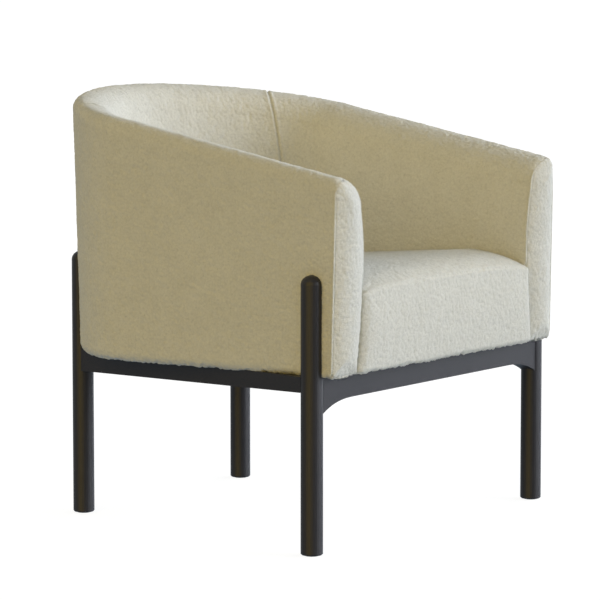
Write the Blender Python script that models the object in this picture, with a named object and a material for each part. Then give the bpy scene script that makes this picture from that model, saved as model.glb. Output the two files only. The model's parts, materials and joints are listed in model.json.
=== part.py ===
"""Upholstered tub armchair on four round wooden legs. Metres, +Z up, front towards -Y."""

import math

import bmesh
import bpy
from mathutils import Vector

# ---- driving dimensions -------------------------------------------------------------
GAP = 0.0003                 # clearance kept between neighbouring pieces

LEG_R = 0.019                # round legs, 38 mm
LEG_TOP = 0.4754
LEG_DOME = 0.0156            # height of the rounded top of a leg
DOME_TURN = 76.0             # the rounding ends at this angle, on a small flat
DOME_FLAT = 0.12             # radius of that flat, as a share of the leg's
FOOT_EASE = 0.002            # softened edge at the foot
GLIDE_R = 0.013
GLIDE_OUT = 0.0015           # how far a glide stands out below its leg
GLIDE_DEEP = 0.004
GLIDE_EASE = 0.001
FRONT_LEG = (0.3509, -0.3166)
REAR_LEG = (0.2386, 0.2666)

RAIL_THICK = 0.030
FRONT_RAIL_BOTTOM = 0.2605
BRACKET_DROP = 0.0205        # how far the front rail reaches down at the legs
BRACKET_LONG = 0.105         # length of the curved bracket, from the leg axis
BRACKET_POWER = 2.6          # how suddenly the bracket's curve turns down
INTO_LEG = 0.010             # rails run this close to a leg axis before the leg trims them
FRONT_MITRE = 0.0188         # the same on the outer face of a side rail
REAR_MITRE = 0.0132
SIDE_RAIL_BOTTOM = 0.2786    # lower edge of the side rails at BASE_Y
SIDE_RAIL_SLOPE = 0.031      # and it falls this much per metre towards the back
TENON_THICK = 0.010
TENON_DEEP = 0.011
TENON_INSET = 0.005
TENON_ROOT = 0.004           # how far a tenon runs into its own rail

BASE_Z = 0.3045              # underside of the upholstered body at the arm fronts
BASE_Y = -0.362
BASE_SLOPE = 0.008           # the body falls this much per metre towards the back

HALF_WIDTH_LOW = 0.3490
HALF_WIDTH_HIGH = 0.3460
BACK_START = 0.104           # where the straight sides turn into the curved back
BACK_DEPTH_LOW = 0.236
BACK_DEPTH_HIGH = 0.2629
PLAN_POWER = 1.87            # 2 is an ellipse
LEAN_LOW_Z = 0.300            # the wall leans out in a straight line between these heights
LEAN_HIGH_Z = 0.700
ARM_FRONT_Y = -0.3620
ARM_LEAN = 0.0070            # the arm fronts lean forward this much at the top
ARM_LEAN_Z = 0.640

RIM_FRONT_Z = 0.6366
RIM_FRONT_Y = -0.355         # where the rim has that height
RIM_SLOPE = 0.184
RIM_EASE = 0.034             # the rim levels off towards the back
RIM_EASE_Y = 0.035
RIM_WIDE = 0.074
RIM_OUT_R = 0.018            # outer rounding of the rim, which is highest this far in
RIM_IN_TALL = 0.050          # inner rounding, a quarter of an ellipse of this height
ARM_THICK = 0.0855
ARM_SWELL = 0.090            # the arm reaches that thickness this far below its rim
BACK_RECLINE = 0.21          # the back thickens by this much per metre of height
RECLINE_TALL = 0.300
BASE_EDGE = 0.012            # rounding of the lower outer edge

COVER = 0.003                # bouclé fabric with its backing
FACING = 0.0095              # padded facing on each arm front
BOARD = 0.0049               # bent plywood behind the outside fabric
FRAME = 0.0248               # hardwood framing behind the board
BOARD_DROP = 0.0308          # boards and top rails stop this far below the rim
TOP_RAIL_TALL = 0.030
RING_TALL = 0.0224
RING_WIDE = 0.0779
PAD_START = 0.034
STRAP_WIDE = 0.050
STRAP_THICK = 0.002
STRAP_APART = 0.130          # spacing of the straps that run front to back
STRAP_FRONT_Y = -0.345
STRAP_BACK_Y = 0.225
STRAP_HALF = 0.290           # half the length of the straps that run across
CROSS_FRONT_Y = -0.200
CROSS_REAR_Y = 0.010
LINING_THICK = 0.0012
LINING_FRONT_Y = -0.3460
LINING_INSET = 0.003         # clearance between the lining and the turned-in cover

SEAT_FRONT_Y = -0.3650
SEAT_NOSE = 0.112            # the seat rises to its crest over this distance
SEAT_FALL = 0.080            # and falls this much per metre behind it
SIDE_CREST = 0.466           # along the arms: crest, drop at the front, shape of the nose
SIDE_DROP = 0.027
SIDE_POWER = 1.65
MIDDLE_CREST = 0.473         # the same along the middle
MIDDLE_DROP = 0.024
MIDDLE_POWER = 5.0
SEAT_LEVEL = 0.440           # height at which the seat's plan is taken
FACE_TAPER = 0.0115          # the facings narrow by this much below the seat
FACE_TOP_Z = 0.484
FACE_POWER = 2.4

BOLT_R = 0.003               # M6
BOLT_CLEAR = 0.0004
BOLT_HEAD_R = 0.0065
BOLT_HEAD_TALL = 0.004
HEAD_CLEAR = 0.0010          # between a bolt head and the flat or curved face behind it
BOLT_Z = 0.400
BOLT_INTO_LEG = 0.010

ARM_SEAM = 1.34              # where the inside back meets an inside arm
OUT_SEAM = 1.62              # where the outside back meets an outside arm
POST_AT = 1.505              # station of a rear leg
POST_FROM = 1.445
POST_TO = 1.565
RING_SPLIT = 1.26
SEAM_ANGLE = 40.0            # where the inside cover meets the outside one, round the rim
SEAM_HALF = 1.5              # half the angle left open there
PIECE_GAP = 0.002            # half the gap between pieces along the plan, in stations
END_GAP = 0.004              # gap between the hard pieces and an arm front, in stations
ARM_POST_TO = 0.125


# ---- scene and materials ------------------------------------------------------------
for old in list(bpy.data.objects):
    bpy.data.objects.remove(old)


def material(name, colour, roughness, metallic=0.0):
    made = bpy.data.materials.new(name)
    made.use_nodes = True
    shader = made.node_tree.nodes["Principled BSDF"]
    shader.inputs["Base Color"].default_value = (*colour, 1.0)
    shader.inputs["Roughness"].default_value = roughness
    shader.inputs["Metallic"].default_value = metallic
    return made


EBONY = material("ebonised_wood", (0.028, 0.026, 0.025), 0.38)
BEECH = material("beech", (0.55, 0.38, 0.22), 0.6)
PLY = material("plywood", (0.60, 0.44, 0.27), 0.65)
BOUCLE = material("boucle", (0.74, 0.70, 0.58), 0.95)
FOAM = material("foam", (0.86, 0.80, 0.60), 0.9)
WEB = material("webbing", (0.20, 0.17, 0.13), 0.9)
LINING = material("lining", (0.05, 0.05, 0.05), 0.9)
STEEL = material("zinc_steel", (0.62, 0.62, 0.60), 0.35, 1.0)
NYLON = material("nylon", (0.09, 0.09, 0.09), 0.5)


def add(name, points, faces, look, smooth=False):
    mesh = bpy.data.meshes.new(name)
    mesh.from_pydata([tuple(p) for p in points], [], faces)
    work = bmesh.new()
    work.from_mesh(mesh)
    bmesh.ops.recalc_face_normals(work, faces=work.faces)
    bmesh.ops.triangulate(work, faces=[f for f in work.faces if len(f.verts) > 4])
    work.to_mesh(mesh)
    work.free()
    for face in mesh.polygons:
        face.use_smooth = smooth
    made = bpy.data.objects.new(name, mesh)
    bpy.context.scene.collection.objects.link(made)
    if look is not None:
        mesh.materials.append(look)
    return made


def cut(body, cutter):
    cutter.hide_render = True
    cutter.display_type = "WIRE"
    made = body.modifiers.new("cut_" + cutter.name, "BOOLEAN")
    made.operation = "DIFFERENCE"
    made.solver = "EXACT"
    made.object = cutter


def join(body, other):
    other.hide_render = True
    other.display_type = "WIRE"
    made = body.modifiers.new("join_" + other.name, "BOOLEAN")
    made.operation = "UNION"
    made.solver = "EXACT"
    made.object = other


def prism(name, outline, low, high, look):
    """A plan polygon with its own lower and upper height at each corner."""
    count = len(outline)
    points = [(x, y, low(x, y)) for x, y in outline]
    points += [(x, y, high(x, y)) for x, y in outline]
    faces = [tuple(range(count)), tuple(range(count, 2 * count))]
    for i in range(count):
        j = (i + 1) % count
        faces.append((i, j, j + count, i + count))
    return add(name, points, faces, look)


def turned(name, centre, profile, look, sides=32, smooth=True):
    """A solid of revolution about a vertical axis, from (radius, height) pairs."""
    points = []
    for radius, height in profile:
        for k in range(sides):
            angle = 2 * math.pi * (k + 0.5) / sides
            x = centre[0] + radius * math.cos(angle)
            y = centre[1] + radius * math.sin(angle)
            points.append((x, y, height))
    rows = len(profile)
    faces = [tuple(range(sides)), tuple(range((rows - 1) * sides, rows * sides))]
    for r in range(rows - 1):
        for k in range(sides):
            m = (k + 1) % sides
            a, b = r * sides, (r + 1) * sides
            faces.append((a + k, a + m, b + m, b + k))
    return add(name, points, faces, look, smooth)


def rod(name, start, end, radius, look, sides=16, smooth=True):
    """A straight round bar between two points."""
    start, end = Vector(start), Vector(end)
    along = (end - start).normalized()
    across = along.orthogonal().normalized()
    third = along.cross(across)
    points = []
    for at in (start, end):
        for k in range(sides):
            angle = 2 * math.pi * k / sides
            ring = across * math.cos(angle) + third * math.sin(angle)
            points.append(at + ring * radius)
    faces = [tuple(range(sides)), tuple(range(sides, 2 * sides))]
    for k in range(sides):
        m = (k + 1) % sides
        faces.append((k, m, m + sides, k + sides))
    return add(name, points, faces, look, smooth)


# ---- plan of the body ---------------------------------------------------------------
# A station runs from 0 at the right arm front, over 2 at the middle of the back,
# to 4 at the left arm front. 1 and 3 are where the straight sides end.

def mix(a, b, t):
    return a + (b - a) * t


def arm_front(z):
    return ARM_FRONT_Y - ARM_LEAN * min(1.0, max(0.0, (z - BASE_Z) / (ARM_LEAN_Z - BASE_Z)))


def plan(station, z):
    """Point of the outer surface at a station and height."""
    if station > 2.0:
        x, y = plan(4.0 - station, z)
        return -x, y
    lean = (z - LEAN_LOW_Z) / (LEAN_HIGH_Z - LEAN_LOW_Z)
    half = mix(HALF_WIDTH_LOW, HALF_WIDTH_HIGH, lean)
    deep = mix(BACK_DEPTH_LOW, BACK_DEPTH_HIGH, lean)
    if station <= 1.0:
        front = arm_front(z) + FACING + GAP
        return half, mix(front, BACK_START, station)
    angle = (station - 1.0) * math.pi / 2
    x = half * max(0.0, math.cos(angle)) ** (2 / PLAN_POWER)
    y = BACK_START + deep * math.sin(angle) ** (2 / PLAN_POWER)
    return x, y


def inward(station):
    """Unit vector in plan, square to the outer surface and pointing inside."""
    if station > 2.0:
        x, y = inward(4.0 - station)
        return -x, y
    if station <= 1.0:
        return -1.0, 0.0
    step = 0.02
    a = plan(max(1.0, station - step), 0.5)
    b = plan(station + step, 0.5)
    run = Vector((b[0] - a[0], b[1] - a[1])).normalized()
    return -run.y, run.x


def place(station, depth, z):
    x, y = plan(station, z)
    n = inward(station)
    return x + n[0] * depth, y + n[1] * depth, z


def base_z(y):
    return BASE_Z - BASE_SLOPE * (y - BASE_Y)


def rim_z(station):
    y = place(station, RIM_WIDE / 2, LEAN_HIGH_Z)[1]
    over = max(0.0, y - RIM_EASE_Y)
    return RIM_FRONT_Z + RIM_SLOPE * (y - RIM_FRONT_Y) - RIM_EASE * over * over


def thickness(station, below):
    """Thickness of the padded wall at a distance below the rim."""
    if below <= RIM_IN_TALL:
        return RIM_WIDE
    down = below - RIM_IN_TALL
    swell = math.sin(min(1.0, down / ARM_SWELL) * math.pi / 2)
    arm = mix(RIM_WIDE, ARM_THICK, swell)
    back = RIM_WIDE + BACK_RECLINE * min(down, RECLINE_TALL)
    turn = inward(station)[1] ** 2
    return mix(arm, back, turn)


def floor_z(station, depth):
    """Height of the sloping underside of the body at a station and depth."""
    return base_z(place(station, depth, BASE_Z)[1])


def edge_points(station, inset):
    """Outer wall of the section at an inset: base edge, then wall, up to the rim."""
    radius = BASE_EDGE - inset
    points = []
    for k in range(3):
        angle = math.pi / 2 * (1 - k / 2)
        depth = BASE_EDGE - radius * math.cos(angle)
        height = floor_z(station, depth) + BASE_EDGE - radius * math.sin(angle)
        points.append((depth, height))
    points.append((inset, rim_z(station) - RIM_OUT_R))
    return points


def rim_points(station, inset, first, foot):
    """Section over the rim from angle first, down the inside face to height foot."""
    top = rim_z(station)
    points = []
    turns = [mix(SEAM_ANGLE, 90, k / 3) for k in range(4)]
    if first < SEAM_ANGLE:
        turns = [first] + turns
    for turn in turns:
        angle = math.radians(turn)
        reach = RIM_OUT_R - inset
        depth = RIM_OUT_R - reach * math.cos(angle)
        points.append((depth, top - RIM_OUT_R + reach * math.sin(angle)))
    wide = RIM_WIDE - RIM_OUT_R - inset
    tall = RIM_IN_TALL - inset
    for k in range(1, 5):
        angle = math.pi / 2 * (1 - k / 4)
        height = top - RIM_IN_TALL + tall * math.sin(angle)
        points.append((RIM_OUT_R + wide * math.cos(angle), height))
    for k in range(1, 6):
        z = mix(top - RIM_IN_TALL, foot, k / 5)
        points.append((thickness(station, top - z) - inset, z))
    return points


HALF_GRID = (0.34, 0.67, 1.0, 1.10, 1.20, RING_SPLIT, ARM_SEAM, POST_FROM, POST_AT, POST_TO,
             OUT_SEAM, 1.75, 1.875)
GRID = HALF_GRID + (2.0,) + tuple(4.0 - s for s in reversed(HALF_GRID))


def sweep(name, first, last, section, look, smooth=True):
    """A closed solid with the given section, running along the plan of the body."""
    apart = 0.008
    stations = [s for s in GRID if first + apart < s < last - apart]
    stations = [first] + stations + [last]
    rows = [section(s) for s in stations]
    count = len(rows[0])
    points = []
    for s, row in zip(stations, rows):
        points += [place(s, depth, z) for depth, z in row]
    total = len(points)
    faces = [tuple(range(count)), tuple(range(total - count, total))]
    for r in range(len(stations) - 1):
        for k in range(count):
            m = (k + 1) % count
            a, b = r * count, (r + 1) * count
            # The same diagonal in every layer keeps nested pieces apart.
            if rows[r][k][1] <= rows[r][m][1]:
                faces += [(a + k, a + m, b + m), (a + k, b + m, b + k)]
            else:
                faces += [(a + k, a + m, b + k), (a + m, b + m, b + k)]
    return add(name, points, faces, look, smooth)


def block(first_depth, last_depth, low, high):
    """Section function for a plain four-cornered bar between two depths and two heights."""
    def section(s):
        return [
            (first_depth, low(s, first_depth)),
            (last_depth, low(s, last_depth)),
            (last_depth, high(s, last_depth)),
            (first_depth, high(s, first_depth)),
        ]
    return section


# ---- sections of the upholstered wall -----------------------------------------------
TUCK = 0.045                 # the inside covers end this far above the base
UNDER_WRAP = 0.040           # the outside cover is turned in this far under the body
PAD_ANGLE = 12.0             # the pad starts here, round the outer side of the rim
PAD_GAP = 0.0005
PAD_LIFT = 0.0008            # clearance between the pad and the top of the boards
PAD_OUT = 0.0045             # how near the pad comes to the outer face, above the boards


def outer_cover(s):
    outside = edge_points(s, 0.0)
    inside = edge_points(s, COVER)
    top = rim_z(s)
    for inset, path in ((0.0, outside), (COVER, inside)):
        for angle in (PAD_ANGLE, SEAM_ANGLE - SEAM_HALF):
            reach = RIM_OUT_R - inset
            turn = math.radians(angle)
            height = top - RIM_OUT_R + reach * math.sin(turn)
            path.append((RIM_OUT_R - reach * math.cos(turn), height))
    low = floor_z(s, UNDER_WRAP)
    under = [(UNDER_WRAP, low + COVER), (UNDER_WRAP, low)]
    return outside + inside[::-1] + under


def inner_cover(s):
    foot = floor_z(s, ARM_THICK) + TUCK
    outside = rim_points(s, 0.0, SEAM_ANGLE, foot)
    inside = rim_points(s, COVER, SEAM_ANGLE, foot)
    return outside + inside[::-1]


def pad(s):
    inset = COVER + PAD_GAP
    foot = floor_z(s, ARM_THICK) + TUCK
    under = rim_z(s) - BOARD_DROP + PAD_LIFT
    over = rim_points(s, inset, PAD_ANGLE, foot)
    return over + [(PAD_START, foot), (PAD_START, under), (PAD_OUT, under)]


def board_top(s, depth):
    return rim_z(s) - BOARD_DROP


def both(name, first, last, section, look, smooth=True):
    """The right-hand piece and its mirror image on the left."""
    right = sweep(name + "_right", first, last, section, look, smooth=smooth)
    left = sweep(name + "_left", 4 - last, 4 - first, section, look, smooth=smooth)
    return left, right


# ---- legs and glides ----------------------------------------------------------------
CORNERS = {
    "front_left": (-FRONT_LEG[0], FRONT_LEG[1]),
    "front_right": FRONT_LEG,
    "rear_left": (-REAR_LEG[0], REAR_LEG[1]),
    "rear_right": REAR_LEG,
}

leg_profile = [(LEG_R - FOOT_EASE, GLIDE_OUT), (LEG_R, GLIDE_OUT + FOOT_EASE)]
for k in range(5):
    turn = math.radians(DOME_TURN * k / 4)
    height = LEG_TOP - LEG_DOME + LEG_DOME * math.sin(turn)
    leg_profile.append((LEG_R * math.cos(turn), height))
leg_profile.append((LEG_R * DOME_FLAT, LEG_TOP))

legs = {}
for corner, at in CORNERS.items():
    legs[corner] = turned("leg_" + corner, at, leg_profile, EBONY)
    reach = GLIDE_OUT + GLIDE_DEEP
    glide = [(GLIDE_R - GLIDE_EASE, 0.0), (GLIDE_R, GLIDE_EASE), (GLIDE_R, reach - GAP)]
    turned("glide_" + corner, at, glide, NYLON, sides=24)
    socket = [(GLIDE_R + GAP, -0.01), (GLIDE_R + GAP, reach)]
    cut(legs[corner], turned("socket_" + corner, at, socket, None, sides=24))


# ---- base rails ---------------------------------------------------------------------
def rail_frame(start, end):
    """Unit vectors along and across a rail that runs between two leg axes."""
    along = Vector((end[0] - start[0], end[1] - start[1]))
    length = along.length
    along.normalize()
    return along, Vector((-along.y, along.x)), length


def bar(name, start, end, from_start, from_end, half, low, high, look):
    """A straight bar on the line between two points in plan.

    from_start and from_end are how far the bar stays from each point: a number, or
    one number for each side of the bar.
    """
    along, across, length = rail_frame(start, end)
    origin = Vector(start)
    if not isinstance(from_start, tuple):
        from_start, from_end = (from_start, from_start), (from_end, from_end)
    outline = []
    for distance, side in (
        (from_start[0], -half),
        (length - from_end[0], -half),
        (length - from_end[1], half),
        (from_start[1], half),
    ):
        point = origin + along * distance + across * side
        outline.append((point.x, point.y))
    return prism(name, outline, low, high, look)


def rail_top(x, y):
    return base_z(y) - GAP


def side_bottom(x, y):
    return SIDE_RAIL_BOTTOM - SIDE_RAIL_SLOPE * (y - BASE_Y)


def tenon_low(x, y):
    return side_bottom(x, y) + TENON_INSET


def tenon_high(x, y):
    return rail_top(x, y) - TENON_INSET


def leg_hole(name, at):
    wide = [(LEG_R + GAP, 0.15), (LEG_R + GAP, 0.40)]
    return turned(name, at, wide, None, sides=32)


def tenons(rail, name, start, end, first_leg, last_leg):
    """Stub tenons on both ends of a rail, and the matching mortises in its legs."""
    half = TENON_THICK / 2
    _, _, length = rail_frame(start, end)
    reach = LEG_R - TENON_DEEP
    root = length - LEG_R - TENON_ROOT
    for tag, leg, near, far in (
        ("a", first_leg, reach, root),
        ("b", last_leg, root, reach),
    ):
        peg = bar(name + "_tenon_" + tag, start, end, near, far, half,
                  tenon_low, tenon_high, None)
        join(rail, peg)
        mortise = bar(
            name + "_mortise_" + tag, start, end, near - GAP, far - GAP, half + GAP,
            lambda x, y: tenon_low(x, y) - GAP,
            lambda x, y: tenon_high(x, y) + GAP,
            None,
        )
        cut(legs[leg], mortise)


def straight_rail(name, first, last, from_start, from_end):
    start, end = CORNERS[first], CORNERS[last]
    rail = bar(name, start, end, from_start, from_end, RAIL_THICK / 2,
               side_bottom, rail_top, EBONY)
    cut(rail, leg_hole(name + "_end_a", start))
    cut(rail, leg_hole(name + "_end_b", end))
    tenons(rail, name, start, end, first, last)
    return rail


straight_rail("base_rail_left", "front_left", "rear_left",
              (FRONT_MITRE, INTO_LEG), (REAR_MITRE, INTO_LEG))
straight_rail("base_rail_right", "front_right", "rear_right",
              (INTO_LEG, FRONT_MITRE), (INTO_LEG, REAR_MITRE))
straight_rail("base_rail_rear", "rear_left", "rear_right", INTO_LEG, INTO_LEG)


def front_rail():
    """Deeper rail with a curved bracket under each end."""
    x_leg, y_leg = FRONT_LEG
    front = y_leg - RAIL_THICK / 2
    back = y_leg + RAIL_THICK / 2
    lower = []
    steps = 10
    for k in range(steps + 1):
        t = k / steps
        x = x_leg - mix(INTO_LEG, BRACKET_LONG, t)
        lower.append((x, FRONT_RAIL_BOTTOM - BRACKET_DROP * (1 - t) ** BRACKET_POWER))
    outline = lower + [(-x, z) for x, z in reversed(lower)]
    count = len(outline) + 2
    rows = []
    for y in (front, back):
        top = rail_top(0.0, y)
        end = x_leg - INTO_LEG
        rows += [(x, y, z) for x, z in outline] + [(-end, y, top), (end, y, top)]
    faces = [tuple(range(count)), tuple(range(count, 2 * count))]
    for k in range(count):
        m = (k + 1) % count
        faces.append((k, m, m + count, k + count))
    rail = add("base_rail_front", rows, faces, EBONY)
    start, end = CORNERS["front_left"], CORNERS["front_right"]
    cut(rail, leg_hole("front_end_a", start))
    cut(rail, leg_hole("front_end_b", end))
    tenons(rail, "base_rail_front", start, end, "front_left", "front_right")


front_rail()


# ---- corner blocks and the bolts that hold the body down ----------------------------
BLOCK_LONG = 0.058
BLOCK_TALL = 0.022
BLOCK_DROP = 0.002           # the blocks sit this far below the top of the rails
BLOCK_NIB = 0.004            # their inner corner is cut off by this much


def corner_block(corner, to_x, to_y):
    """A wedge in the inner corner of two rails, bolted up into the seat ring."""
    at = Vector(CORNERS[corner])
    one, _, _ = rail_frame(CORNERS[corner], CORNERS[to_x])
    two, _, _ = rail_frame(CORNERS[corner], CORNERS[to_y])
    spread = one.angle(two)
    off = (RAIL_THICK / 2 + GAP) / math.sin(spread)
    inner = at + one * off + two * off
    a = inner + one * BLOCK_LONG
    b = inner + two * BLOCK_LONG
    outline = [inner + one * BLOCK_NIB, a, b, inner + two * BLOCK_NIB]
    points = [(p.x, p.y) for p in outline]
    name = "corner_block_" + corner
    made = prism(
        name, points,
        lambda x, y: rail_top(x, y) - BLOCK_DROP - BLOCK_TALL,
        lambda x, y: rail_top(x, y) - BLOCK_DROP,
        BEECH,
    )
    hole = (inner + a + b) / 3
    x, y = hole.x, hole.y
    under = rail_top(x, y) - BLOCK_DROP - BLOCK_TALL
    cut(made, rod(name + "_hole", (x, y, under - 0.01), (x, y, under + 0.06),
                  BOLT_R + BOLT_CLEAR, None))
    return x, y, under


mount_at = {
    "front_left": corner_block("front_left", "front_right", "rear_left"),
    "front_right": corner_block("front_right", "front_left", "rear_right"),
    "rear_left": corner_block("rear_left", "rear_right", "front_left"),
    "rear_right": corner_block("rear_right", "rear_left", "front_right"),
}


# ---- seat ring ----------------------------------------------------------------------
RING_LIFT = COVER + 0.0006
RING_START = 0.0128
RING_FRONT_Y = -0.3614
RING_FRONT_WIDE = 0.0554


def ring_section():
    return block(
        RING_START, RING_START + RING_WIDE,
        lambda s, depth: floor_z(s, depth) + RING_LIFT,
        lambda s, depth: floor_z(s, depth) + RING_LIFT + RING_TALL,
    )


ring_left, ring_right = both("seat_ring", END_GAP, RING_SPLIT - PIECE_GAP, ring_section(),
                             PLY, False)
ring_back = sweep("seat_ring_back", RING_SPLIT + PIECE_GAP, 4 - RING_SPLIT - PIECE_GAP,
                  ring_section(), PLY, smooth=False)
front_x = HALF_WIDTH_LOW - RING_START - RING_WIDE - 2 * GAP
front_back_y = RING_FRONT_Y + RING_FRONT_WIDE
prism(
    "seat_ring_front",
    [(-front_x, RING_FRONT_Y), (front_x, RING_FRONT_Y),
     (front_x, front_back_y), (-front_x, front_back_y)],
    lambda x, y: base_z(y) + RING_LIFT,
    lambda x, y: base_z(y) + RING_LIFT + RING_TALL,
    PLY,
)

ring_of = {
    "front_left": ring_left,
    "front_right": ring_right,
    "rear_left": ring_back,
    "rear_right": ring_back,
}


def headed_bolt(name, head_at, tip):
    """A round bolt with a plain round head, running from its head to its tip."""
    head_at, tip = Vector(head_at), Vector(tip)
    along = (tip - head_at).normalized()
    shank = rod(name + "_shank", head_at + along * (BOLT_HEAD_TALL / 2), tip, BOLT_R, None)
    bolt = rod(name, head_at, head_at + along * BOLT_HEAD_TALL, BOLT_HEAD_R, STEEL)
    join(bolt, shank)
    return bolt


BOLT_INTO_RING = 0.016
mount_holes = []
for corner, (x, y, under) in mount_at.items():
    tip = base_z(y) + RING_LIFT + BOLT_INTO_RING
    head_z = under - GAP - BOLT_HEAD_TALL
    headed_bolt("mount_bolt_" + corner, (x, y, head_z), (x, y, tip))
    hole = rod("ring_hole_" + corner, (x, y, head_z), (x, y, tip + 0.001),
               BOLT_R + BOLT_CLEAR + GAP, None)
    cut(ring_of[corner], hole)
    mount_holes.append(hole)


# ---- posts, top rails and bent boards -----------------------------------------------
BOARD_START = COVER + 0.0004
BOARD_LIFT = 0.002           # the boards start this far above the rounded lower edge
BOARD_SPLIT = 0.003          # half the gap between two boards, in stations
FRAME_START = BOARD_START + BOARD + GAP


def framing(low, high):
    return block(FRAME_START, FRAME_START + FRAME, low, high)


def post_low(s, depth):
    return floor_z(s, depth) + RING_LIFT + RING_TALL + GAP


def post_high(s, depth):
    return rail_low(s, depth) - GAP


def rail_low(s, depth):
    return board_top(s, depth) - TOP_RAIL_TALL


arm_posts = both("arm_post", END_GAP, ARM_POST_TO, framing(post_low, post_high), BEECH, False)
back_posts = both("back_post", POST_FROM, POST_TO, framing(post_low, post_high), BEECH, False)
both("top_rail", END_GAP, POST_FROM - PIECE_GAP, framing(rail_low, board_top), BEECH, False)
sweep("top_rail_back", POST_FROM + PIECE_GAP, 4 - POST_FROM - PIECE_GAP,
      framing(rail_low, board_top), BEECH, smooth=False)

board_section = block(
    BOARD_START, BOARD_START + BOARD,
    lambda s, depth: floor_z(s, depth) + BASE_EDGE + BOARD_LIFT,
    board_top,
)

boards = both("shell_board", END_GAP, OUT_SEAM - BOARD_SPLIT, board_section, PLY)
sweep("shell_board_back", OUT_SEAM + BOARD_SPLIT, 4 - OUT_SEAM - BOARD_SPLIT, board_section, PLY)


# ---- soft parts of the wall ---------------------------------------------------------
cover_out = both("outside_cover", 0.0, OUT_SEAM - PIECE_GAP, outer_cover, BOUCLE)
sweep("outside_cover_back", OUT_SEAM + PIECE_GAP, 4 - OUT_SEAM - PIECE_GAP, outer_cover, BOUCLE)
both("inside_cover", 0.0, ARM_SEAM - PIECE_GAP, inner_cover, BOUCLE)
inside_from = ARM_SEAM + PIECE_GAP
sweep("inside_cover_back", inside_from, 4 - inside_from, inner_cover, BOUCLE)
arm_pads = both("arm_pad", PIECE_GAP, ARM_SEAM - PIECE_GAP, pad, FOAM)
back_pad = sweep("back_pad", inside_from, 4 - inside_from, pad, FOAM)


# ---- arm facings --------------------------------------------------------------------
FACE_STEPS = 5


def facing_depth(z):
    """Width of the facing from the outer side. It narrows below the level of the seat."""
    if z >= FACE_TOP_Z:
        return thickness(0.0, rim_z(0.0) - z)
    down = (FACE_TOP_Z - z) / (FACE_TOP_Z - BASE_Z)
    return ARM_THICK - FACE_TAPER * down ** FACE_POWER


def facing_levels(high):
    """Heights from the base up to a level, in equal steps."""
    return [mix(BASE_Z, high, k / FACE_STEPS) for k in range(FACE_STEPS + 1)]


def facing(name, side):
    path = edge_points(0.0, 0.0)
    path += rim_points(0.0, 0.0, PAD_ANGLE, FACE_TOP_Z)
    path += [(facing_depth(z), z) for z in facing_levels(FACE_TOP_Z)[-2::-1]]
    points = []
    for back in (0.0, FACING):
        for depth, z in path:
            half = plan(0.0, z)[0]
            points.append((side * (half - depth), arm_front(z) + back, z))
    count = len(path)
    faces = [tuple(range(count)), tuple(range(count, 2 * count))]
    for k in range(count):
        m = (k + 1) % count
        faces.append((k, m, m + count, k + count))
    return add(name, points, faces, BOUCLE)


facing("arm_facing_left", -1)
facing("arm_facing_right", 1)


# ---- seat ---------------------------------------------------------------------------
SEAT_CLEAR = 0.0034          # between the seat and the arms, which lean in above it
EDGE_SHARES = (-0.9, -0.6, -0.2, 0.2, 0.6, 0.9)


def seat_line(back, crest, drop, power):
    """Height along the seat at a distance from its front: a rounded nose, then a slow fall."""
    if back < SEAT_NOSE:
        return crest - drop * (1 - max(0.0, back) / SEAT_NOSE) ** power
    return crest - SEAT_FALL * (back - SEAT_NOSE)


def seat_half(y):
    """Half the clear width between the arms at a distance back."""
    best = 0.0
    for k in range(201):
        s = 2.0 * k / 200
        x, at, _ = place(s, thickness(s, rim_z(s) - SEAT_LEVEL), SEAT_LEVEL)
        if at >= y and x > best:
            best = x
    return best


def seat_z(x, y):
    back = y - SEAT_FRONT_Y
    half = max(0.02, seat_half(y)) if y > BACK_START - 0.1 else HALF_WIDTH_LOW - ARM_THICK
    side = min(1.0, abs(x) / half)
    along_arms = seat_line(back, SIDE_CREST, SIDE_DROP, SIDE_POWER)
    along_middle = seat_line(back, MIDDLE_CREST, MIDDLE_DROP, MIDDLE_POWER)
    return mix(along_arms, along_middle, 1 - side ** 4)


def seat_outline(front, z, clear):
    """Plan of the seat at a height: straight front, then round the inside of the wall."""
    points = []
    for s in GRID:
        if 0.3 < s < 3.7:
            x, y, _ = place(s, thickness(s, rim_z(s) - z) + clear, z)
            points.append((x, y))
    x = HALF_WIDTH_LOW - ARM_THICK - SEAT_CLEAR
    ys = [mix(front, points[0][1], t) for t in (0.0, 0.03, 0.10, 0.22, 0.40, 0.65)]
    right = [(x, y) for y in ys]
    left = [(-x, y) for y in reversed(ys)]
    edge = [(x * t, front) for t in EDGE_SHARES]
    return right + points + left + edge


def mat(name, outline, low, high, look, middle, rings=6):
    """A thick sheet over a plan outline, with a curved top and bottom."""
    count = len(outline)
    shares = [k / rings for k in range(rings)]
    points = []
    for level in (high, low):
        for share in shares:
            for x, y in outline:
                px, py = mix(x, middle[0], share), mix(y, middle[1], share)
                points.append((px, py, level(px, py)))
        points.append((middle[0], middle[1], level(*middle)))
    half = rings * count + 1
    faces = []
    for base in (0, half):
        for r in range(rings - 1):
            for k in range(count):
                m = (k + 1) % count
                a, b = base + r * count, base + (r + 1) * count
                faces.append((a + k, a + m, b + m, b + k))
        a = base + (rings - 1) * count
        for k in range(count):
            faces.append((a + k, a + (k + 1) % count, base + half - 1))
    for k in range(count):
        m = (k + 1) % count
        faces.append((k, m, m + half, k + half))
    return add(name, points, faces, look, True)


SEAT_MIDDLE = (0.0, -0.10)
STRAP_LIFT = RING_LIFT + RING_TALL + GAP
FOAM_LIFT = STRAP_LIFT + 2 * STRAP_THICK + 2 * GAP
FOAM_FRONT_Y = SEAT_FRONT_Y + COVER + 0.0015


def foam_top(x, y):
    return min(seat_z(x, y), seat_z(x, y - 0.006)) - COVER - 0.002


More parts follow.
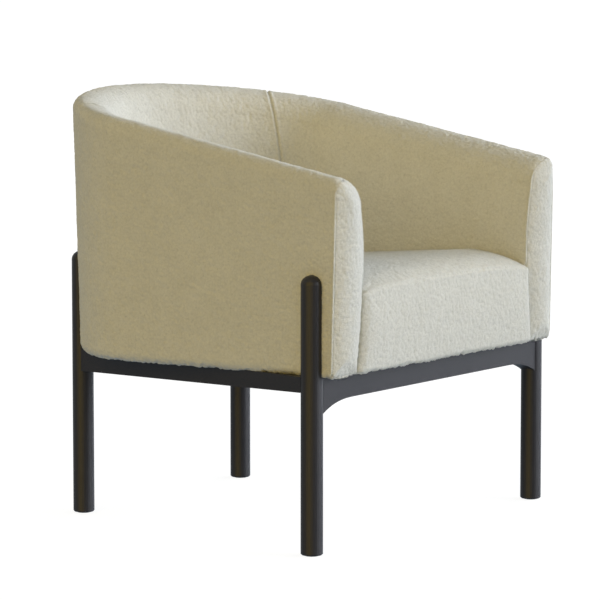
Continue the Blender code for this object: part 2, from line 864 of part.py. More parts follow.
mat("seat_foam", seat_outline(FOAM_FRONT_Y, 0.335, 0.0024),
    lambda x, y: base_z(y) + FOAM_LIFT, foam_top, FOAM, SEAT_MIDDLE, rings=4)
mat("seat_top_cover", seat_outline(SEAT_FRONT_Y, 0.425, 0.0008),
    lambda x, y: seat_z(x, y) - COVER, seat_z, BOUCLE, SEAT_MIDDLE, rings=5)


def seat_front():
    """Front border of the seat, between the two facings and up to the top cover."""
    half = HALF_WIDTH_LOW - ARM_THICK - SEAT_CLEAR
    edge = [(half * t, SEAT_FRONT_Y) for t in (-1.0, *EDGE_SHARES, 1.0)]
    top = [(x, seat_z(x, y) - COVER - 2 * GAP) for x, y in edge]
    right = []
    for z in facing_levels(top[-1][1] - GAP)[:-1]:
        right.append((plan(0.0, z)[0] - facing_depth(z) - 3 * GAP, z))
    outline = right + top[::-1] + [(-x, z) for x, z in reversed(right)]
    count = len(outline)
    points = [(x, SEAT_FRONT_Y, z) for x, z in outline]
    points += [(x, SEAT_FRONT_Y + COVER, z) for x, z in outline]
    faces = [tuple(range(count)), tuple(range(count, 2 * count))]
    for k in range(count):
        m = (k + 1) % count
        faces.append((k, m, m + count, k + count))
    add("seat_front_cover", points, faces, BOUCLE)


seat_front()


# ---- suspension and underside -------------------------------------------------------
half = STRAP_WIDE / 2
for tag, x in (("left", -STRAP_APART), ("middle", 0.0), ("right", STRAP_APART)):
    prism(
        "strap_long_" + tag,
        [(x - half, STRAP_FRONT_Y), (x + half, STRAP_FRONT_Y),
         (x + half, STRAP_BACK_Y), (x - half, STRAP_BACK_Y)],
        lambda a, b: base_z(b) + STRAP_LIFT,
        lambda a, b: base_z(b) + STRAP_LIFT + STRAP_THICK,
        WEB,
    )
CROSS_LIFT = STRAP_LIFT + STRAP_THICK + GAP
for tag, y in (("front", CROSS_FRONT_Y), ("rear", CROSS_REAR_Y)):
    prism(
        "strap_cross_" + tag,
        [(-STRAP_HALF, y - half), (STRAP_HALF, y - half),
         (STRAP_HALF, y + half), (-STRAP_HALF, y + half)],
        lambda a, b: base_z(b) + CROSS_LIFT,
        lambda a, b: base_z(b) + CROSS_LIFT + STRAP_THICK,
        WEB,
    )


def lining_outline():
    inner = UNDER_WRAP + LINING_INSET
    points = [place(s, inner, BASE_Z)[:2] for s in GRID if 0.3 < s < 3.7]
    x = HALF_WIDTH_LOW - inner
    return [(x, LINING_FRONT_Y)] + points + [(-x, LINING_FRONT_Y)]


dust_cover = prism(
    "dust_cover", lining_outline(),
    lambda x, y: base_z(y),
    lambda x, y: base_z(y) + LINING_THICK,
    LINING,
)


for hole in mount_holes:
    for layer in (dust_cover, *cover_out):
        cut(layer, hole)


# ---- legs let against the body, and the bolts that hold them ------------------------
CUT_TOP = 0.600              # above the tops of the legs
CUT_STATIONS = 0.13          # stations that a rear cutter reaches past its leg


def wall_cutter(name, middle):
    """The space that the body takes, with a little clearance, next to a rear leg."""
    section = block(-2 * GAP, 2 * LEG_R, lambda s, depth: floor_z(s, depth) - 2 * GAP,
                    lambda s, depth: CUT_TOP)
    return sweep(name, middle - CUT_STATIONS, middle + CUT_STATIONS, section, None)


def flat_cutter(corner, side):
    """The flat on a front leg, which stands against the straight side of the body."""
    front, back = FRONT_LEG[1] - 2 * LEG_R, FRONT_LEG[1] + 2 * LEG_R
    near, far = side * (HALF_WIDTH_LOW + 2 * GAP), side * (HALF_WIDTH_LOW - 2 * LEG_R)
    outline = [(near, front), (near, back), (far, back), (far, front)]
    return prism("body_space_" + corner, outline,
                 lambda x, y: base_z(y) - 2 * GAP, lambda x, y: CUT_TOP, None)


cut(legs["front_left"], flat_cutter("front_left", -1))
cut(legs["front_right"], flat_cutter("front_right", 1))
cut(legs["rear_left"], wall_cutter("body_space_rear_left", 4 - POST_AT))
cut(legs["rear_right"], wall_cutter("body_space_rear_right", POST_AT))


HEAD_POCKET = 0.003          # space left in a pad beyond a bolt head


def leg_bolt(corner, station, layers):
    """A bolt from inside the wall into a leg. It returns the pocket to cut for its head."""
    n = inward(station)
    x, y = CORNERS[corner]
    surface = place(station, 0.0, BOLT_Z)
    reach = (surface[0] - x) * n[0] + (surface[1] - y) * n[1]
    along = Vector((n[0], n[1], 0.0))
    axis = Vector((x, y, BOLT_Z))
    post_face = FRAME_START + FRAME
    head = axis + along * (reach + post_face + HEAD_CLEAR + BOLT_HEAD_TALL)
    tip = axis + along * (reach - BOLT_INTO_LEG)
    headed_bolt("leg_bolt_" + corner, head, tip)
    hole = rod("leg_bolt_hole_" + corner, head, tip - along * 0.001, BOLT_R + BOLT_CLEAR, None)
    for layer in layers:
        cut(layer, hole)
    cut(legs[corner], hole)
    return rod("pad_pocket_" + corner, head - along * 1.5 * BOLT_HEAD_TALL,
               head + along * HEAD_POCKET, BOLT_HEAD_R + HEAD_CLEAR, None)


def front_station():
    front = plan(0.0, BOLT_Z)[1]
    return (FRONT_LEG[1] - front) / (BACK_START - front)


near = front_station()
cut(arm_pads[0], leg_bolt("front_left", 4 - near, (cover_out[0], boards[0], arm_posts[0])))
cut(arm_pads[1], leg_bolt("front_right", near, (cover_out[1], boards[1], arm_posts[1])))
cut(back_pad, leg_bolt("rear_left", 4 - POST_AT, (cover_out[0], boards[0], back_posts[0])))
cut(back_pad, leg_bolt("rear_right", POST_AT, (cover_out[1], boards[1], back_posts[1])))
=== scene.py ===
"""Upholstered tub armchair: looped fabric panels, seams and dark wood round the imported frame."""

import math

import bpy
import numpy as np
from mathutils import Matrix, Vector
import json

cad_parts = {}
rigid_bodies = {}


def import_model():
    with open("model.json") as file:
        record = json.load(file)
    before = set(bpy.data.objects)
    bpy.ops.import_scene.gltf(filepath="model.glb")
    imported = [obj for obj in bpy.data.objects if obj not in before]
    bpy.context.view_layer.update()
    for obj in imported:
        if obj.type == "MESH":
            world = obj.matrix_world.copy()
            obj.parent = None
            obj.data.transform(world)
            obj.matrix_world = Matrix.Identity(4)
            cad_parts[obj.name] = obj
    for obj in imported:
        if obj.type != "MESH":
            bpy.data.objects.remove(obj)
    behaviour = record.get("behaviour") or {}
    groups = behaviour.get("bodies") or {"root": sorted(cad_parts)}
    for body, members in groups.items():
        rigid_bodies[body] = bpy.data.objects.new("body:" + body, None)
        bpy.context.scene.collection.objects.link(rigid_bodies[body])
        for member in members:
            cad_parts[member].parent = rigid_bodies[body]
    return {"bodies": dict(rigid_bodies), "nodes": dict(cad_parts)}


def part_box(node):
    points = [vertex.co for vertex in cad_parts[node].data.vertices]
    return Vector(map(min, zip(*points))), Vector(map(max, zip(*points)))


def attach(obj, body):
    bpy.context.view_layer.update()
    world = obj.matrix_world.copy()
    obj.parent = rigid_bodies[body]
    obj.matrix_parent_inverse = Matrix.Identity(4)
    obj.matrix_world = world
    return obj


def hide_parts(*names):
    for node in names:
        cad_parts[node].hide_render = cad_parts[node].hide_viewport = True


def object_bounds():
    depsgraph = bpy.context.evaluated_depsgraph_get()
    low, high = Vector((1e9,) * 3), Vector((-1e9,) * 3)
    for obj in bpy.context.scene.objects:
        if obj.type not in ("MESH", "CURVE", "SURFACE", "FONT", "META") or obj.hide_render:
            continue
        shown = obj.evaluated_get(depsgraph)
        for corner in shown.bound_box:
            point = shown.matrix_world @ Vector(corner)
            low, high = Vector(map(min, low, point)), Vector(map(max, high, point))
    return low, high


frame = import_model()

CAD_LOW, CAD_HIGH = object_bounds()
ROOT = sorted(frame["bodies"])[0]

# ---- places, read from the frame ----------------------------------------------------
SIDE_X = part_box("outside_cover_right")[1].x     # outer side at the base
FACING_LOW, FACING_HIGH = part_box("arm_facing_right")
BASE_Z = FACING_LOW.z
FRONT_Y = FACING_LOW.y
RIM_FRONT_Z = FACING_HIGH.z
SEAT_FRONT_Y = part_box("seat_front_cover")[0].y
BACK_Y = CAD_HIGH.y

# ---- shape of the body --------------------------------------------------------------
ARM_LEAN = 0.0070            # the arm fronts lean forward this much over this height
ARM_LEAN_TALL = 0.335
BASE_SLOPE = 0.008           # the base edge falls this much per metre towards the back
SIDE_TAPER = 0.0075          # the sides draw in by this much per metre of height
BACK_START = 0.104           # where the straight sides turn into the curved back
BACK_LOW = 0.236             # depth of the curved back at the lower lean height
LEAN_LOW_Z = 0.300           # the back leans outwards evenly through these two heights
LEAN_HIGH_Z = 0.700
RIM_BACK_LEAN = 1.079        # lean at the height where the back reaches furthest
PLAN_POWER = 1.87            # the curved back is a superellipse in plan, of this power
PLAN_Z = 0.5                 # distances along the plan are measured at this height
RIM_SLOPE = 0.184            # the rim rises this much per metre towards the back
RIM_EASE = 0.034             # less this much per metre squared behind the next line
RIM_EASE_Y = 0.035
RIM_WIDE = 0.074             # thickness of the wall just below the rim
RIM_OUT_R = 0.018            # outer rounding of the rim, which is highest this far in
RIM_OUT_TALL = 0.028         # and starts this far below the crest
RIM_BACK_TALL = 0.017        # or this far at the back, where the corner is sharper
RIM_IN_TALL = 0.050          # inner rounding, a quarter of an ellipse of this height
ARM_THICK = 0.0855           # thickness of the arms, reached this far below the rim
ARM_SWELL = 0.090
BACK_RECLINE = 0.21          # the back thickens this much per metre down, over this height
RECLINE_TALL = 0.300
TOP_LEAN = 0.0032            # the top of the back leans in a little more
TOP_LEAN_TALL = 0.080
BASE_EDGE_FRONT = 0.005      # rounding of the base edge at the front and further back
BASE_EDGE_BACK = 0.014
BASE_EDGE_RUN = 0.12
UNDER_WRAP = 0.040           # the outside covers turn in under the body by this much
SEAM_TURN = 40.0             # degrees round the rim where outside and inside covers meet
SEAM_LAP = 6.0               # the outside cover runs this much further
OUT_SEAM = 1.62              # stations of the outside and the inside back seam
IN_SEAM = 1.36
IN_SEAM_SLANT = 0.40         # stations that the inside back seam runs forward per metre down
TUCK_Z = 0.425               # the inside covers end here, below the seat
SEAM_BACK = 0.0075           # facing seams lie this far behind the arm fronts
FACE_CROWN = 0.0128          # the facings swell this far in front of their seams
FACE_ROUND = 0.040           # and are flat from this far inside their outline
ROLL_R = 0.025               # the rim rolls over into the facings with this radius
ROLL_SHARE = 0.46            # share of the roll's depth that lies behind the seam
ROLL_TALL = 0.032            # the facings round over more suddenly near their tops
ROLL_POWER = 0.55
FACE_TAPER = 0.0115          # the facings narrow by this much towards the base
FACE_TOP_Z = 0.484           # below this height, slowly at first
FACE_POWER = 2.4

SEAT_NOSE = 0.112            # length of the seat's rounded nose
SEAT_FALL = 0.080            # the seat falls this much per metre behind the nose
SIDE_LINE = (0.466, 0.027, 1.65)      # crest, drop at the front, shape of the nose
MIDDLE_LINE = (0.473, 0.024, 5.0)
SEAT_SEAM_Z = 0.4485         # the cross seam at the sides of the seat
SEAT_BACK_Y = 0.245          # the seat ends here, under the back

STEP = 0.0021                # spacing of the fabric's mesh
COARSE = 6                   # the hidden face of a panel keeps every sixth line
CLOTH_THICK = 0.0024
FACING_THICK = 0.0040
PATH_BEND = 20               # points round the inner bend of the rim
PATH_WALL = 30               # points from there down the inside of the wall


def mix(a, b, t):
    return a + (b - a) * t


# ---- plan and sections --------------------------------------------------------------
# A station runs from 0 at the right arm front, over 2 at the middle of the back,
# to 4 at the left arm front. 1 and 3 are where the straight sides end.

def arm_front(z):
    """Front line of the arms at a height."""
    return FRONT_Y + ARM_LEAN * (1 - np.clip((z - BASE_Z) / ARM_LEAN_TALL, 0, 1))


def half_width(z):
    """Half the outer width of the body at a height."""
    return SIDE_X - SIDE_TAPER * (z - LEAN_LOW_Z)


BACK_HIGH = BACK_LOW + (BACK_Y - BACK_START - BACK_LOW) / RIM_BACK_LEAN


def plan(station, z):
    """Points of the outer surface. station and z are arrays of one shape."""
    s = np.where(station > 2, 4 - station, station)
    half = half_width(z)
    deep = mix(BACK_LOW, BACK_HIGH, (z - LEAN_LOW_Z) / (LEAN_HIGH_Z - LEAN_LOW_Z))
    turn = np.clip(s - 1, 0, 1) * math.pi / 2
    power = 2 / PLAN_POWER
    x = np.where(s <= 1, half, half * np.maximum(np.cos(turn), 0) ** power)
    straight = mix(arm_front(z) + SEAM_BACK, BACK_START, np.minimum(s, 1))
    y = np.where(s <= 1, straight, BACK_START + deep * np.sin(turn) ** power)
    return np.where(station > 2, -x, x), y


# distance along the plan and its smoothed direction, both by station
PLAN_STEPS = 2000
PLAN_SOFT = 30               # the direction is smoothed over this many steps each way
PLAN_S = np.linspace(0, 4, PLAN_STEPS + 1)
PLAN_X, PLAN_Y = plan(PLAN_S, np.full(PLAN_STEPS + 1, PLAN_Z))
PLAN_RUN = np.concatenate([[0], np.cumsum(np.hypot(np.diff(PLAN_X), np.diff(PLAN_Y)))])
SMOOTH = np.hanning(2 * PLAN_SOFT + 1)
SMOOTH = SMOOTH / SMOOTH.sum()
PLAN_TURN = np.unwrap(np.arctan2(np.gradient(PLAN_Y), np.gradient(PLAN_X)))
PLAN_TURN = np.convolve(np.pad(PLAN_TURN, PLAN_SOFT, mode="edge"), SMOOTH, mode="valid")


def place(station, depth, z):
    """World points at a depth in from the outer surface."""
    x, y = plan(station, z)
    turn = np.interp(station, PLAN_S, PLAN_TURN)
    return np.stack([x - np.sin(turn) * depth, y + np.cos(turn) * depth, z], axis=-1)


def one(station, depth, z):
    """The same for a single point."""
    return place(np.array([station]), np.array([depth]), np.array([z]))[0]


def base_z(y):
    """Height of the body's base edge at a distance back."""
    return BASE_Z - BASE_SLOPE * (y - FRONT_Y - ARM_LEAN)


def run_back(station):
    """Distance along the plan from the nearer arm front."""
    run = float(np.interp(station, PLAN_S, PLAN_RUN))
    return min(run, float(PLAN_RUN[-1]) - run)


def rim_z(station):
    """Height of the crest of the rim. It rolls down at the arm fronts."""
    y = one(station, RIM_WIDE / 2, LEAN_HIGH_Z)[1]
    over = max(0.0, y - RIM_EASE_Y)
    left = max(0.0, ROLL_R * ROLL_SHARE - run_back(station))
    roll = ROLL_R - math.sqrt(ROLL_R ** 2 - left ** 2)
    return RIM_FRONT_Z + RIM_SLOPE * (y - RIM_START_Y) - RIM_EASE * over * over - roll


def base_edge(station):
    """Rounding of the base edge at a station."""
    share = min(1.0, run_back(station) / BASE_EDGE_RUN)
    return mix(BASE_EDGE_FRONT, BASE_EDGE_BACK, share * share * (3 - 2 * share))


RIM_START_Y = one(0.0, RIM_WIDE / 2, LEAN_HIGH_Z)[1]


def thickness(station, below):
    """Thickness of the padded wall at distances below the rim."""
    down = np.maximum(0, below - RIM_IN_TALL)
    swell = np.sin(np.minimum(1, down / ARM_SWELL) * math.pi / 2)
    arm = mix(RIM_WIDE, ARM_THICK, swell)
    back = RIM_WIDE + BACK_RECLINE * np.minimum(down, RECLINE_TALL)
    turn = np.cos(np.interp(station, PLAN_S, PLAN_TURN)) ** 2
    return mix(arm, back, turn)


def arc(centre, radius, first, last, count=14):
    """Points of an arc in the (depth, height) plane. 0 degrees faces outwards."""
    turns = np.radians(np.linspace(first, last, count))
    return [(centre[0] - radius * math.cos(t), centre[1] + radius * math.sin(t)) for t in turns]


def back_share(station):
    """0 along the straight sides and 1 round the back."""
    return min(1.0, 2 * math.cos(float(np.interp(station, PLAN_S, PLAN_TURN))) ** 2)


def rim_arc(station, top, first, last, count=16):
    """Outer rounding of the rim, a quarter of an ellipse. 90 degrees is the crest."""
    tall = mix(RIM_OUT_TALL, RIM_BACK_TALL, back_share(station))
    turns = np.radians(np.linspace(first, last, count))
    return [(RIM_OUT_R * (1 - math.cos(t)), top - tall * (1 - math.sin(t))) for t in turns]


def leaned(station, top, path):
    """The section with the extra lean at the top of the back."""
    share = back_share(station)
    return [(d + share * TOP_LEAN * max(0.0, 1 - (top - z) / TOP_LEAN_TALL), z) for d, z in path]


def outer_path(station):
    """Section of an outside cover, from its turned-in edge up to the seam on the rim."""
    low = base_z(one(station, 0.0, BASE_Z)[1])
    inner = base_z(one(station, UNDER_WRAP, BASE_Z)[1])
    top = rim_z(station)
    edge = base_edge(station)
    path = [(UNDER_WRAP, inner)]
    path += arc((edge, low + edge), edge, -90, 0)
    path += rim_arc(station, top, 0, SEAM_TURN + SEAM_LAP)
    return leaned(station, top, path)


def inner_path(station):
    """Section of an inside cover, from the seam over the rim and down behind the seat."""
    top = rim_z(station)
    path = rim_arc(station, top, SEAM_TURN, 90)
    wide = RIM_WIDE - RIM_OUT_R
    for turn in np.radians(np.linspace(90, 0, PATH_BEND))[1:]:
        path.append((RIM_OUT_R + wide * math.cos(turn), top - RIM_IN_TALL * (1 - math.sin(turn))))
    for z in np.linspace(top - RIM_IN_TALL, TUCK_Z, PATH_WALL)[1:]:
        path.append((float(thickness(station, top - z)), z))
    return leaned(station, top, path)


EDGE_LINES = (0.0, 0.25, 0.55, 0.9, 1.35, 1.95)      # finer steps beside the seams


def spaced(count):
    """count + 1 shares from 0 to 1, evenly apart but for finer steps at both ends."""
    fine = np.array(EDGE_LINES)
    middle = np.linspace(fine[-1], count - fine[-1], count + 1 - 2 * (len(fine) - 1))
    return np.concatenate([fine[:-1], middle, (count - fine[:-1])[::-1]]) / count


def resampled(path, count):
    """A path as count + 1 points, closer together near its two ends."""
    path = np.array(path)
    run = np.concatenate([[0], np.cumsum(np.linalg.norm(np.diff(path, axis=0), axis=1))])
    at = spaced(count) * run[-1]
    return np.stack([np.interp(at, run, path[:, 0]), np.interp(at, run, path[:, 1])], axis=1)


# ---- noise that shapes the fabric ---------------------------------------------------
def hashed(cell, seed):
    """A fixed pseudo-random number from 0 to 1 for each integer cell."""
    mixed = cell[..., 0] * 73856093 ^ cell[..., 1] * 19349663 ^ cell[..., 2] * 83492791
    mixed = (mixed ^ (seed * 40503 + 12345)) & 0x7FFFFFFF
    mixed = (mixed * 1103515245 + 12345) & 0x7FFFFFFF
    mixed = ((mixed >> 13) ^ mixed) * 60493 & 0x7FFFFFFF
    return mixed / 0x7FFFFFFF


def clouds(points, size, seed):
    """Smooth value noise from -1 to 1."""
    scaled = points / size
    cell = np.floor(scaled).astype(np.int64)
    part = scaled - cell
    part = part * part * (3 - 2 * part)
    total = np.zeros(points.shape[:-1])
    for i in (0, 1):
        for j in (0, 1):
            for k in (0, 1):
                weight = np.ones_like(total)
                for axis, corner in enumerate((i, j, k)):
                    share = part[..., axis]
                    weight = weight * (share if corner else 1 - share)
                total += weight * hashed(cell + np.array([i, j, k]), seed)
    return 2 * total - 1


def loops(points, size, seed):
    """Rounded bumps, one for each loop of yarn, from 0 between loops to 1 on top."""
    scaled = points / size
    cell = np.floor(scaled).astype(np.int64)
    nearest = np.full(points.shape[:-1], 9.0)
    for i in (-1, 0, 1):
        for j in (-1, 0, 1):
            for k in (-1, 0, 1):
                other = cell + np.array([i, j, k])
                seat = np.stack([hashed(other, seed + n) for n in (0, 1, 2)], axis=-1)
                nearest = np.minimum(nearest, np.linalg.norm(other + seat - scaled, axis=-1))
    return 1 - np.minimum(nearest, 1) ** 2


LOOP_SIZE = 0.0056           # loops of yarn
LOOP_TALL = 0.0019
LOOP_SINK = 0.45             # share of their height that lies below the smooth form
CLUMP_SIZE = 0.012           # loops that stand up together
CLUMP_TALL = 0.0004
SWAY_SIZE = 0.075            # slow unevenness of the padding
SWAY_TALL = 0.0004
PUCKER_SIZE = 0.013          # soft upright puckers where the fabric is pulled down
PUCKER_TALL = 0.00045
PUCKER_LONG = 0.16           # their height is their size divided by this
HEM_SIZE = 0.0085            # yarn loops hang unevenly over the rails
HEM_TALL = 0.0060
HEM_SINK = 0.55
HEM_RISE = 0.009             # up to this far above the base edge


def pile(points):
    """Height of the fabric's surface above its smooth form."""
    height = LOOP_TALL * (loops(points, LOOP_SIZE, 3) - LOOP_SINK)
    height += CLUMP_TALL * clouds(points, CLUMP_SIZE, 17)
    height += SWAY_TALL * clouds(points, SWAY_SIZE, 29)
    height += PUCKER_TALL * clouds(points * (1, 1, PUCKER_LONG), PUCKER_SIZE, 41)
    return height


def ragged(points):
    """The grid with the loops along the base edge hanging unevenly."""
    low = base_z(points[..., 1])
    near = np.clip(1 - (points[..., 2] - low) / HEM_RISE, 0, 1)
    hang = loops(points * (1, 1, 0), HEM_SIZE, 61) - HEM_SINK
    moved = points.copy()
    moved[..., 2] -= HEM_TALL * near * hang
    return moved


# ---- meshes -------------------------------------------------------------------------
def normals_of(points):
    """Unit normals of a grid of points."""
    along = np.gradient(points, axis=0)
    across = np.gradient(points, axis=1)
    normal = np.cross(along, across)
    return normal / np.maximum(np.linalg.norm(normal, axis=-1, keepdims=True), 1e-12)


def mesh_piece(name, points, faces, look):
    """A smooth shaded mesh object in the scene."""
    mesh = bpy.data.meshes.new(name)
    mesh.from_pydata(points.tolist(), [], faces)
    mesh.materials.append(look)
    mesh.shade_smooth()
    mesh.update()
    made = bpy.data.objects.new(name, mesh)
    bpy.context.scene.collection.objects.link(made)
    return made


def volume_of(points, faces):
    """Signed volume inside a closed surface, from a fan of triangles in each face."""
    total = 0.0
    for count in {len(f) for f in faces}:
        some = points[np.array([f for f in faces if len(f) == count])]
        for k in range(1, count - 1):
            total += np.einsum("ij,ij->", some[:, 0], np.cross(some[:, k], some[:, k + 1]))
    return total / 6


def grid_faces(rows, columns, start=0):
    """Four-sided faces of a grid whose points are numbered from start."""
    index = np.arange(rows * columns).reshape(rows, columns) + start
    quads = np.stack([index[:-1, :-1], index[1:, :-1], index[1:, 1:], index[:-1, 1:]], axis=-1)
    return quads.reshape(-1, 4).tolist()


def panel(name, points, outward, relief, thick=CLOTH_THICK):
    """A closed panel of fabric: a fine outer face, a coarse inner one and four edges.

    outward points roughly the way the outer face looks. relief is added to the pile.
    """
    rows, columns = points.shape[:2]
    normal = normals_of(points)
    middle = normal[rows // 2, columns // 2]
    if middle @ np.array(outward) < 0:
        normal = -normal
    outer = points + normal * (pile(points) + relief)[..., None]
    keep_r = sorted({*range(0, rows, COARSE), rows - 1})
    keep_c = sorted({*range(0, columns, COARSE), columns - 1})
    back = (points - normal * thick)[np.ix_(keep_r, keep_c)]
    start = rows * columns
    at = np.arange(start).reshape(rows, columns)
    under = np.arange(len(keep_r) * len(keep_c)).reshape(len(keep_r), len(keep_c)) + start
    faces = grid_faces(rows, columns)
    faces += [f[::-1] for f in grid_faces(len(keep_r), len(keep_c), start)]
    for a in range(len(keep_r) - 1):
        low, high = keep_r[a], keep_r[a + 1]
        left = at[low:high + 1, 0].tolist()
        faces.append(left[::-1] + [int(under[a, 0]), int(under[a + 1, 0])])
        right = at[low:high + 1, -1].tolist()
        faces.append(right + [int(under[a + 1, -1]), int(under[a, -1])])
    for b in range(len(keep_c) - 1):
        low, high = keep_c[b], keep_c[b + 1]
        first = at[0, low:high + 1].tolist()
        faces.append(first + [int(under[0, b + 1]), int(under[0, b])])
        last = at[-1, low:high + 1].tolist()
        faces.append(last[::-1] + [int(under[-1, b]), int(under[-1, b + 1])])
    joined = np.concatenate([outer.reshape(-1, 3), back.reshape(-1, 3)])
    if volume_of(joined, faces) < 0:
        faces = [f[::-1] for f in faces]
    return mesh_piece(name, joined, faces, BOUCLE)


def runs_of(points):
    """Distance of each point of a grid from its first and last row and column."""
    down = np.linalg.norm(np.diff(points, axis=0), axis=-1)
    down = np.concatenate([np.zeros((1, points.shape[1])), np.cumsum(down, axis=0)])
    over = np.linalg.norm(np.diff(points, axis=1), axis=-1)
    over = np.concatenate([np.zeros((points.shape[0], 1)), np.cumsum(over, axis=1)], axis=1)
    return down, down[-1:] - down, over, over[:, -1:] - over


# depth of the groove and height of the lips beside it, for each kind of seam
FACE_SEAM = (0.0022, 0.0009)
BACK_SEAM = (0.0030, 0.0009)
SEAT_SEAM = (0.0014, 0.0004)
BORDER_SEAM = (0.0012, 0.0)
GROOVE_WIDE = 0.0018
LIP_AT = 0.0052
LIP_WIDE = 0.0028
SEAM_TOP = 0.010             # facing seams end this far below the front of the rim
SEAM_FADE = 0.045            # and come in over this height


def seam_relief(distance, deep, lip):
    """A panel dips into its seam and stands up a little beside it."""
    groove = -deep * np.exp(-(distance / GROOVE_WIDE) ** 2)
    return groove + lip * np.exp(-((distance - LIP_AT) / LIP_WIDE) ** 2)


def seam_shown(z):
    """The facing seams sink into the pile where they turn over the rim."""
    return np.clip((RIM_FRONT_Z - SEAM_TOP - z) / SEAM_FADE, 0.0, 1.0)


# ---- materials ----------------------------------------------------------------------
class Look:
    """A material and short ways to add and join its nodes."""

    def __init__(self, name, colour, roughness, metallic=0.0):
        self.material = bpy.data.materials.new(name)
        self.material.use_nodes = True
        self.tree = self.material.node_tree
        self.shader = self.tree.nodes["Principled BSDF"]
        self.shader.inputs["Base Color"].default_value = (*colour, 1.0)
        self.shader.inputs["Roughness"].default_value = roughness
        self.shader.inputs["Metallic"].default_value = metallic
        self.place = self.node("ShaderNodeTexCoord").outputs["Object"]

    def node(self, kind, **values):
        made = self.tree.nodes.new(kind)
        for key, value in values.items():
            if key in made.inputs:
                made.inputs[key].default_value = value
            else:
                setattr(made, key, value)
        return made

    def join(self, source, target):
        self.tree.links.new(source, target)

    def stretched(self, scale):
        made = self.node("ShaderNodeMapping")
        made.inputs["Scale"].default_value = scale
        self.join(self.place, made.inputs["Vector"])
        return made.outputs["Vector"]

    def noise(self, scale, detail=2.0, vector=None, distortion=0.0):
        made = self.node("ShaderNodeTexNoise", Scale=scale, Detail=detail, Distortion=distortion)
        self.join(vector or self.place, made.inputs["Vector"])
        return made.outputs["Fac"]

    def cells(self, scale, output="Distance"):
        made = self.node("ShaderNodeTexVoronoi", Scale=scale)
        self.join(self.place, made.inputs["Vector"])
        return made.outputs[output]

    def ramp(self, source, *stops):
        """Two stops, each a place from 0 to 1 and a colour."""
        made = self.node("ShaderNodeValToRGB")
        for element, (at, colour) in zip(made.color_ramp.elements, stops):
            element.position = at
            element.color = (*colour, 1.0)
        self.join(source, made.inputs["Fac"])
        return made.outputs["Color"]

    def multiply(self, first, second, share=1.0):
        made = self.node("ShaderNodeMix", data_type="RGBA", blend_type="MULTIPLY")
        made.inputs[0].default_value = share
        self.join(first, made.inputs[6])
        self.join(second, made.inputs[7])
        return made.outputs[2]

    def bump(self, height, distance, strength=1.0, under=None):
        made = self.node("ShaderNodeBump", Distance=distance, Strength=strength)
        self.join(height, made.inputs["Height"])
        if under is not None:
            self.join(under, made.inputs["Normal"])
        return made.outputs["Normal"]

    def finish(self, colour=None, normal=None, roughness=None):
        for source, socket in ((colour, "Base Color"), (normal, "Normal"), (roughness, "Roughness")):
            if source is not None:
                self.join(source, self.shader.inputs[socket])
        return self.material


def grey(value):
    return (value, value, value)


FABRIC = (0.76, 0.73, 0.63)
FABRIC_DEEP = (0.745, 0.715, 0.615)
FABRIC_LIGHT = (0.775, 0.745, 0.645)


def boucle_look():
    """Cream looped yarn: curled loops, painted shade in the pinholes between them, and a soft sheen.
    """
    look = Look("boucle_fabric", FABRIC, 0.95)
    look.shader.inputs["Sheen Weight"].default_value = 0.12
    look.shader.inputs["Sheen Roughness"].default_value = 0.6
    look.shader.inputs["Specular IOR Level"].default_value = 0.15
    base = look.ramp(look.noise(24.0, 3.0), (0.32, FABRIC_DEEP), (0.68, FABRIC_LIGHT))
    yarn = look.ramp(look.cells(330.0, "Color"), (0.1, grey(0.92)), (0.9, grey(1.0)))
    base = look.multiply(base, yarn, 0.8)
    # painted shade: the colour darkens between the loops, where shade falls
    painted_gap_shade = look.ramp(look.cells(240.0), (0.45, grey(1.0)), (0.80, grey(0.93)))
    base = look.multiply(base, painted_gap_shade)
    # painted shade: dark pinholes where shade falls between the loops
    painted_pinhole_shade = look.ramp(look.noise(210.0, 2.0), (0.27, grey(0.90)), (0.36, grey(1.0)))
    base = look.multiply(base, painted_pinhole_shade)
    loop = look.bump(look.cells(240.0), 0.0030, -1.0)
    curl = look.bump(look.noise(430.0, 3.0, distortion=1.4), 0.0018, 0.9, loop)
    return look.finish(base, curl)


WOOD = (0.0235, 0.0210, 0.0225)
WOOD_DEEP = (0.0165, 0.0150, 0.0170)
WOOD_LIGHT = (0.0330, 0.0280, 0.0295)


def wood_look(name, stretch):
    """Near-black satin wood, with a fine grain that runs along the piece."""
    look = Look(name, WOOD, 0.40)
    look.shader.inputs["Specular IOR Level"].default_value = 0.42
    look.shader.inputs["Coat Weight"].default_value = 0.08
    look.shader.inputs["Coat Roughness"].default_value = 0.32
    along = look.stretched(stretch)
    grain = look.noise(1.0, 6.0, along, 0.6)
    pores = look.noise(3.2, 4.0, along)
    tint = look.ramp(grain, (0.25, WOOD_DEEP), (0.75, WOOD_LIGHT))
    dark = look.ramp(pores, (0.34, grey(0.62)), (0.46, grey(1.0)))
    colour = look.multiply(tint, dark)
    rough = look.ramp(grain, (0.2, grey(0.36)), (0.8, grey(0.46)))
    return look.finish(colour, look.bump(pores, 0.0004, 0.35), rough)


def bare_wood_look(name, light, dark, stretch):
    """Unfinished wood of the hidden frame."""
    look = Look(name, light, 0.6)
    grain = look.noise(1.0, 6.0, look.stretched(stretch), 1.2)
    colour = look.ramp(grain, (0.3, dark), (0.7, light))
    return look.finish(colour, look.bump(grain, 0.0005, 0.3))


def cloth_look(name, light, dark, threads, depth):
    """Fine crossed threads, for webbing and lining."""
    look = Look(name, light, 0.92)
    one_way = look.noise(1.0, 1.0, look.stretched((threads, threads * 0.08, threads)))
    other = look.noise(1.0, 1.0, look.stretched((threads * 0.08, threads, threads)))
    both = look.multiply(one_way, other)
    colour = look.ramp(both, (0.12, dark), (0.42, light))
    return look.finish(colour, look.bump(both, depth, 0.6))


